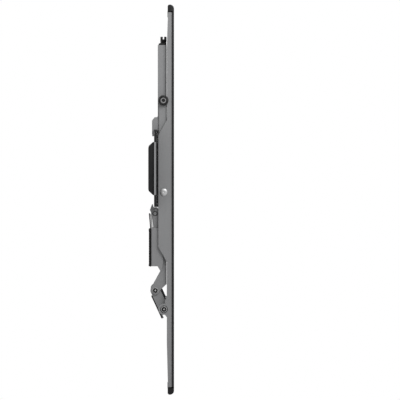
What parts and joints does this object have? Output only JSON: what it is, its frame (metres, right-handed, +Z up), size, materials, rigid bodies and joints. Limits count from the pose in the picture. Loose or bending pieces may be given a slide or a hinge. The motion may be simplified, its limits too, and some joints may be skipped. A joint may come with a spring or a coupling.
{
  "type": "full motion tv wall mount",
  "caption": "Wall mount for a flat screen: slim folding arm, crossbar head and tilting uprights with slotted screen holes",
  "frame": {"origin": "middle of the wall plate's back face, on the wall", "axes": "+X right as seen from the room, +Y into the wall, +Z up"},
  "size_m": [0.47, 0.0291, 0.439],
  "materials": {
    "grey_paint": "fine texture powder coat, mid grey",
    "black_paint": "fine texture powder coat, black",
    "black_plastic": "moulded, fine grain",
    "rubber": "matt rubber",
    "black_steel": "black oxide screws",
    "zinc": "bright zinc plate",
    "spring_steel": "bright spring strip",
    "nylon": "natural nylon"
  },
  "bodies": {
    "wall_base": {"wall_plate": "black_paint", "wall_bracket": "black_paint", "wall_pivot_pin": "zinc", "wall_washers": "nylon"},
    "folding_arm_inner": {"inner_arm": "black_paint", "elbow_pin": "zinc", "elbow_washers": "nylon"},
    "folding_arm_outer": {"outer_arm_upper": "black_paint", "outer_arm_lower": "black_paint", "arm_tie": "grey_paint", "head_washers": "nylon"},
    "head": {"head_rail_top": "black_paint", "head_rail_bottom": "black_paint", "end_plates": "black_paint", "doubler_plates": "grey_paint", "end_bumpers": "black_plastic", "head_pins": "zinc"},
    "left_hanger": {"left_hanger_rail": "grey_paint", "left_channel_cap": "black_plastic", "left_brake_shoe": "nylon", "left_hook": "grey_paint", "left_tilt_bolt": "black_steel", "left_lower_housing": "grey_paint", "left_wall_pad": "rubber", "left_lower_arm": "grey_paint", "left_link_bolt": "black_steel", "left_latch_bracket": "grey_paint", "left_latch_spring": "spring_steel"},
    "left_screw": {"left_tension_screw": "black_steel"},
    "left_swing": {"left_tilt_arm": "grey_paint", "left_pivot_rivets": "zinc"},
    "left_upright": {"left_strip": "grey_paint", "left_strip_liner": "black_plastic", "left_strip_caps": "black_plastic", "left_ear_bolt": "black_steel"},
    "left_toggle": {"left_lower_link": "grey_paint", "left_link_guards": "black_plastic"},
    "left_latch": {"left_latch_lever": "grey_paint"},
    "right_hanger": {"right_hanger_rail": "grey_paint", "right_channel_cap": "black_plastic", "right_brake_shoe": "nylon", "right_hook": "grey_paint", "right_tilt_bolt": "black_steel", "right_lower_housing": "grey_paint", "right_wall_pad": "rubber", "right_lower_arm": "grey_paint", "right_link_bolt": "black_steel", "right_latch_bracket": "grey_paint", "right_latch_spring": "spring_steel"},
    "right_screw": {"right_tension_screw": "black_steel"},
    "right_swing": {"right_tilt_arm": "grey_paint", "right_pivot_rivets": "zinc"},
    "right_upright": {"right_strip": "grey_paint", "right_strip_liner": "black_plastic", "right_strip_caps": "black_plastic", "right_ear_bolt": "black_steel"},
    "right_toggle": {"right_lower_link": "grey_paint", "right_link_guards": "black_plastic"},
    "right_latch": {"right_latch_lever": "grey_paint"}
  },
  "joints": [
    {"name": "wall_swing", "type": "hinge", "parent": "wall_base", "child": "folding_arm_inner", "pos_m": [-0.1, -0.0125, 0], "axis": [0, 0, -1], "range_deg": [0, 120]},
    {"name": "elbow", "type": "hinge", "parent": "folding_arm_inner", "child": "folding_arm_outer", "pos_m": [0.15, -0.0125, 0], "axis": [0, 0, 1], "range_deg": [0, 135]},
    {"name": "head_swivel", "type": "hinge", "parent": "folding_arm_outer", "child": "head", "pos_m": [0, -0.0125, 0], "axis": [0, 0, -1], "range_deg": [0, 150]},
    {"name": "left_slide", "type": "slide", "parent": "head", "child": "left_hanger", "axis": [1, 0, 0], "range_m": [-0.012, 0.012]},
    {"name": "left_brake_screw", "type": "hinge", "parent": "left_hanger", "child": "left_screw", "pos_m": [-0.2, -0.0172, 0.12], "axis": [0, 0, 1], "continuous": true},
    {"name": "left_tilt", "type": "hinge", "parent": "left_hanger", "child": "left_swing", "pos_m": [-0.2, -0.0171, 0.0767], "axis": [-1, 0, 0], "range_deg": [0, 22]},
    {"name": "left_upright_pivot", "type": "hinge", "parent": "left_swing", "child": "left_upright", "pos_m": [-0.2, -0.0177, -0.0265], "axis": [1, 0, 0], "range_deg": [0, 34.2]},
    {"name": "left_toggle_pivot", "type": "hinge", "parent": "left_hanger", "child": "left_toggle", "pos_m": [-0.2, -0.008, -0.1372], "axis": [-1, 0, 0], "range_deg": [0, 35.3]},
    {"name": "left_latch_pivot", "type": "hinge", "parent": "left_hanger", "child": "left_latch", "pos_m": [-0.2, -0.00765, -0.0506], "axis": [-1, 0, 0], "range_deg": [0, 12], "stiffness_Nm_per_rad": 0.05},
    {"name": "right_slide", "type": "slide", "parent": "head", "child": "right_hanger", "axis": [1, 0, 0], "range_m": [-0.012, 0.012]},
    {"name": "right_brake_screw", "type": "hinge", "parent": "right_hanger", "child": "right_screw", "pos_m": [0.2, -0.0172, 0.12], "axis": [0, 0, 1], "continuous": true},
    {"name": "right_tilt", "type": "hinge", "parent": "right_hanger", "child": "right_swing", "pos_m": [0.2, -0.0171, 0.0767], "axis": [-1, 0, 0], "range_deg": [0, 22]},
    {"name": "right_upright_pivot", "type": "hinge", "parent": "right_swing", "child": "right_upright", "pos_m": [0.2, -0.0177, -0.0265], "axis": [1, 0, 0], "range_deg": [0, 34.2]},
    {"name": "right_toggle_pivot", "type": "hinge", "parent": "right_hanger", "child": "right_toggle", "pos_m": [0.2, -0.008, -0.1372], "axis": [-1, 0, 0], "range_deg": [0, 35.3]},
    {"name": "right_latch_pivot", "type": "hinge", "parent": "right_hanger", "child": "right_latch", "pos_m": [0.2, -0.00765, -0.0506], "axis": [-1, 0, 0], "range_deg": [0, 12], "stiffness_Nm_per_rad": 0.05}
  ],
  "couplings": [
    {"joint": "left_upright_pivot", "follows": "left_tilt", "ratio": 1.55},
    {"joint": "left_toggle_pivot", "follows": "left_tilt", "ratio": 1.6},
    {"joint": "right_upright_pivot", "follows": "right_tilt", "ratio": 1.55},
    {"joint": "right_toggle_pivot", "follows": "right_tilt", "ratio": 1.6}
  ]
}
